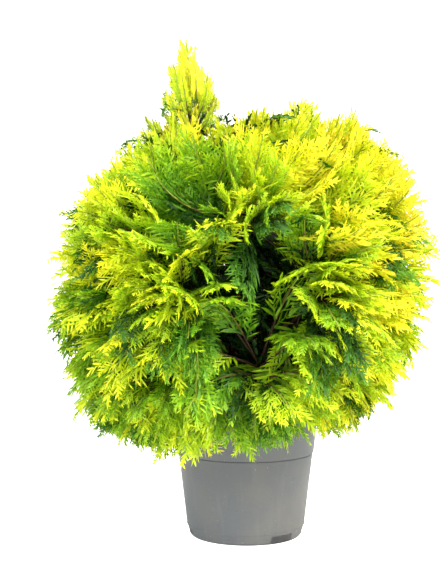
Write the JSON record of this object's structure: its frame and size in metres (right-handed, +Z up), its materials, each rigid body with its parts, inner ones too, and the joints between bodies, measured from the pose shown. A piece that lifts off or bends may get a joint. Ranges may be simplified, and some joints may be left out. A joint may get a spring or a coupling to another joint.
{
  "type": "potted golden globe arborvitae",
  "caption": "Small golden-green globe arborvitae: flat feathery sprays on upswept boughs round one leaning stem, growing from compost in a plain grey tapered nursery pot with a rim band.",
  "frame": {"origin": "centre of the pot's flat underside", "axes": "+Z up; the pictured front faces -Y; +X to the viewer's right"},
  "size_m": [0.3718, 0.3629, 0.4751],
  "materials": {
    "pot_plastic": "matte grey recycled plastic, faintly streaked and dusty",
    "compost": "dark crumbly compost",
    "bark": "thin reddish-brown fibrous bark",
    "foliage": "scale leaves in flat sprays, golden at the tips and deep green inside"
  },
  "bodies": {
    "root": {"bough_back_crest": "bark", "bough_belly_1": "bark", "bough_belly_2": "bark", "bough_belly_3": "bark", "bough_belly_4": "bark", "bough_belly_5": "bark", "bough_belly_6": "bark", "bough_far_right_plume": "bark", "bough_front_crest": "bark", "bough_left_plume": "bark", "bough_right_plume": "bark", "bough_shoulder_1": "bark", "bough_shoulder_2": "bark", "bough_shoulder_3": "bark", "bough_shoulder_4": "bark", "bough_shoulder_5": "bark", "bough_shoulder_6": "bark", "bough_skirt_1": "bark", "bough_skirt_2": "bark", "bough_skirt_3": "bark", "bough_skirt_4": "bark", "bough_skirt_5": "bark", "bough_skirt_6": "bark", "bough_skirt_7": "bark", "compost": "compost", "main_stem": "bark", "mass_back_crest": "foliage", "mass_belly_1": "foliage", "mass_belly_2": "foliage", "mass_belly_3": "foliage", "mass_belly_4": "foliage", "mass_belly_5": "foliage", "mass_belly_6": "foliage", "mass_far_right_plume": "foliage", "mass_front_crest": "foliage", "mass_leader": "foliage", "mass_left_plume": "foliage", "mass_right_plume": "foliage", "mass_shoulder_1": "foliage", "mass_shoulder_2": "foliage", "mass_shoulder_3": "foliage", "mass_shoulder_4": "foliage", "mass_shoulder_5": "foliage", "mass_shoulder_6": "foliage", "mass_skirt_1": "foliage", "mass_skirt_2": "foliage", "mass_skirt_3": "foliage", "mass_skirt_4": "foliage", "mass_skirt_5": "foliage", "mass_skirt_6": "foliage", "mass_skirt_7": "foliage", "pot": "pot_plastic"}
  },
  "joints": []
}
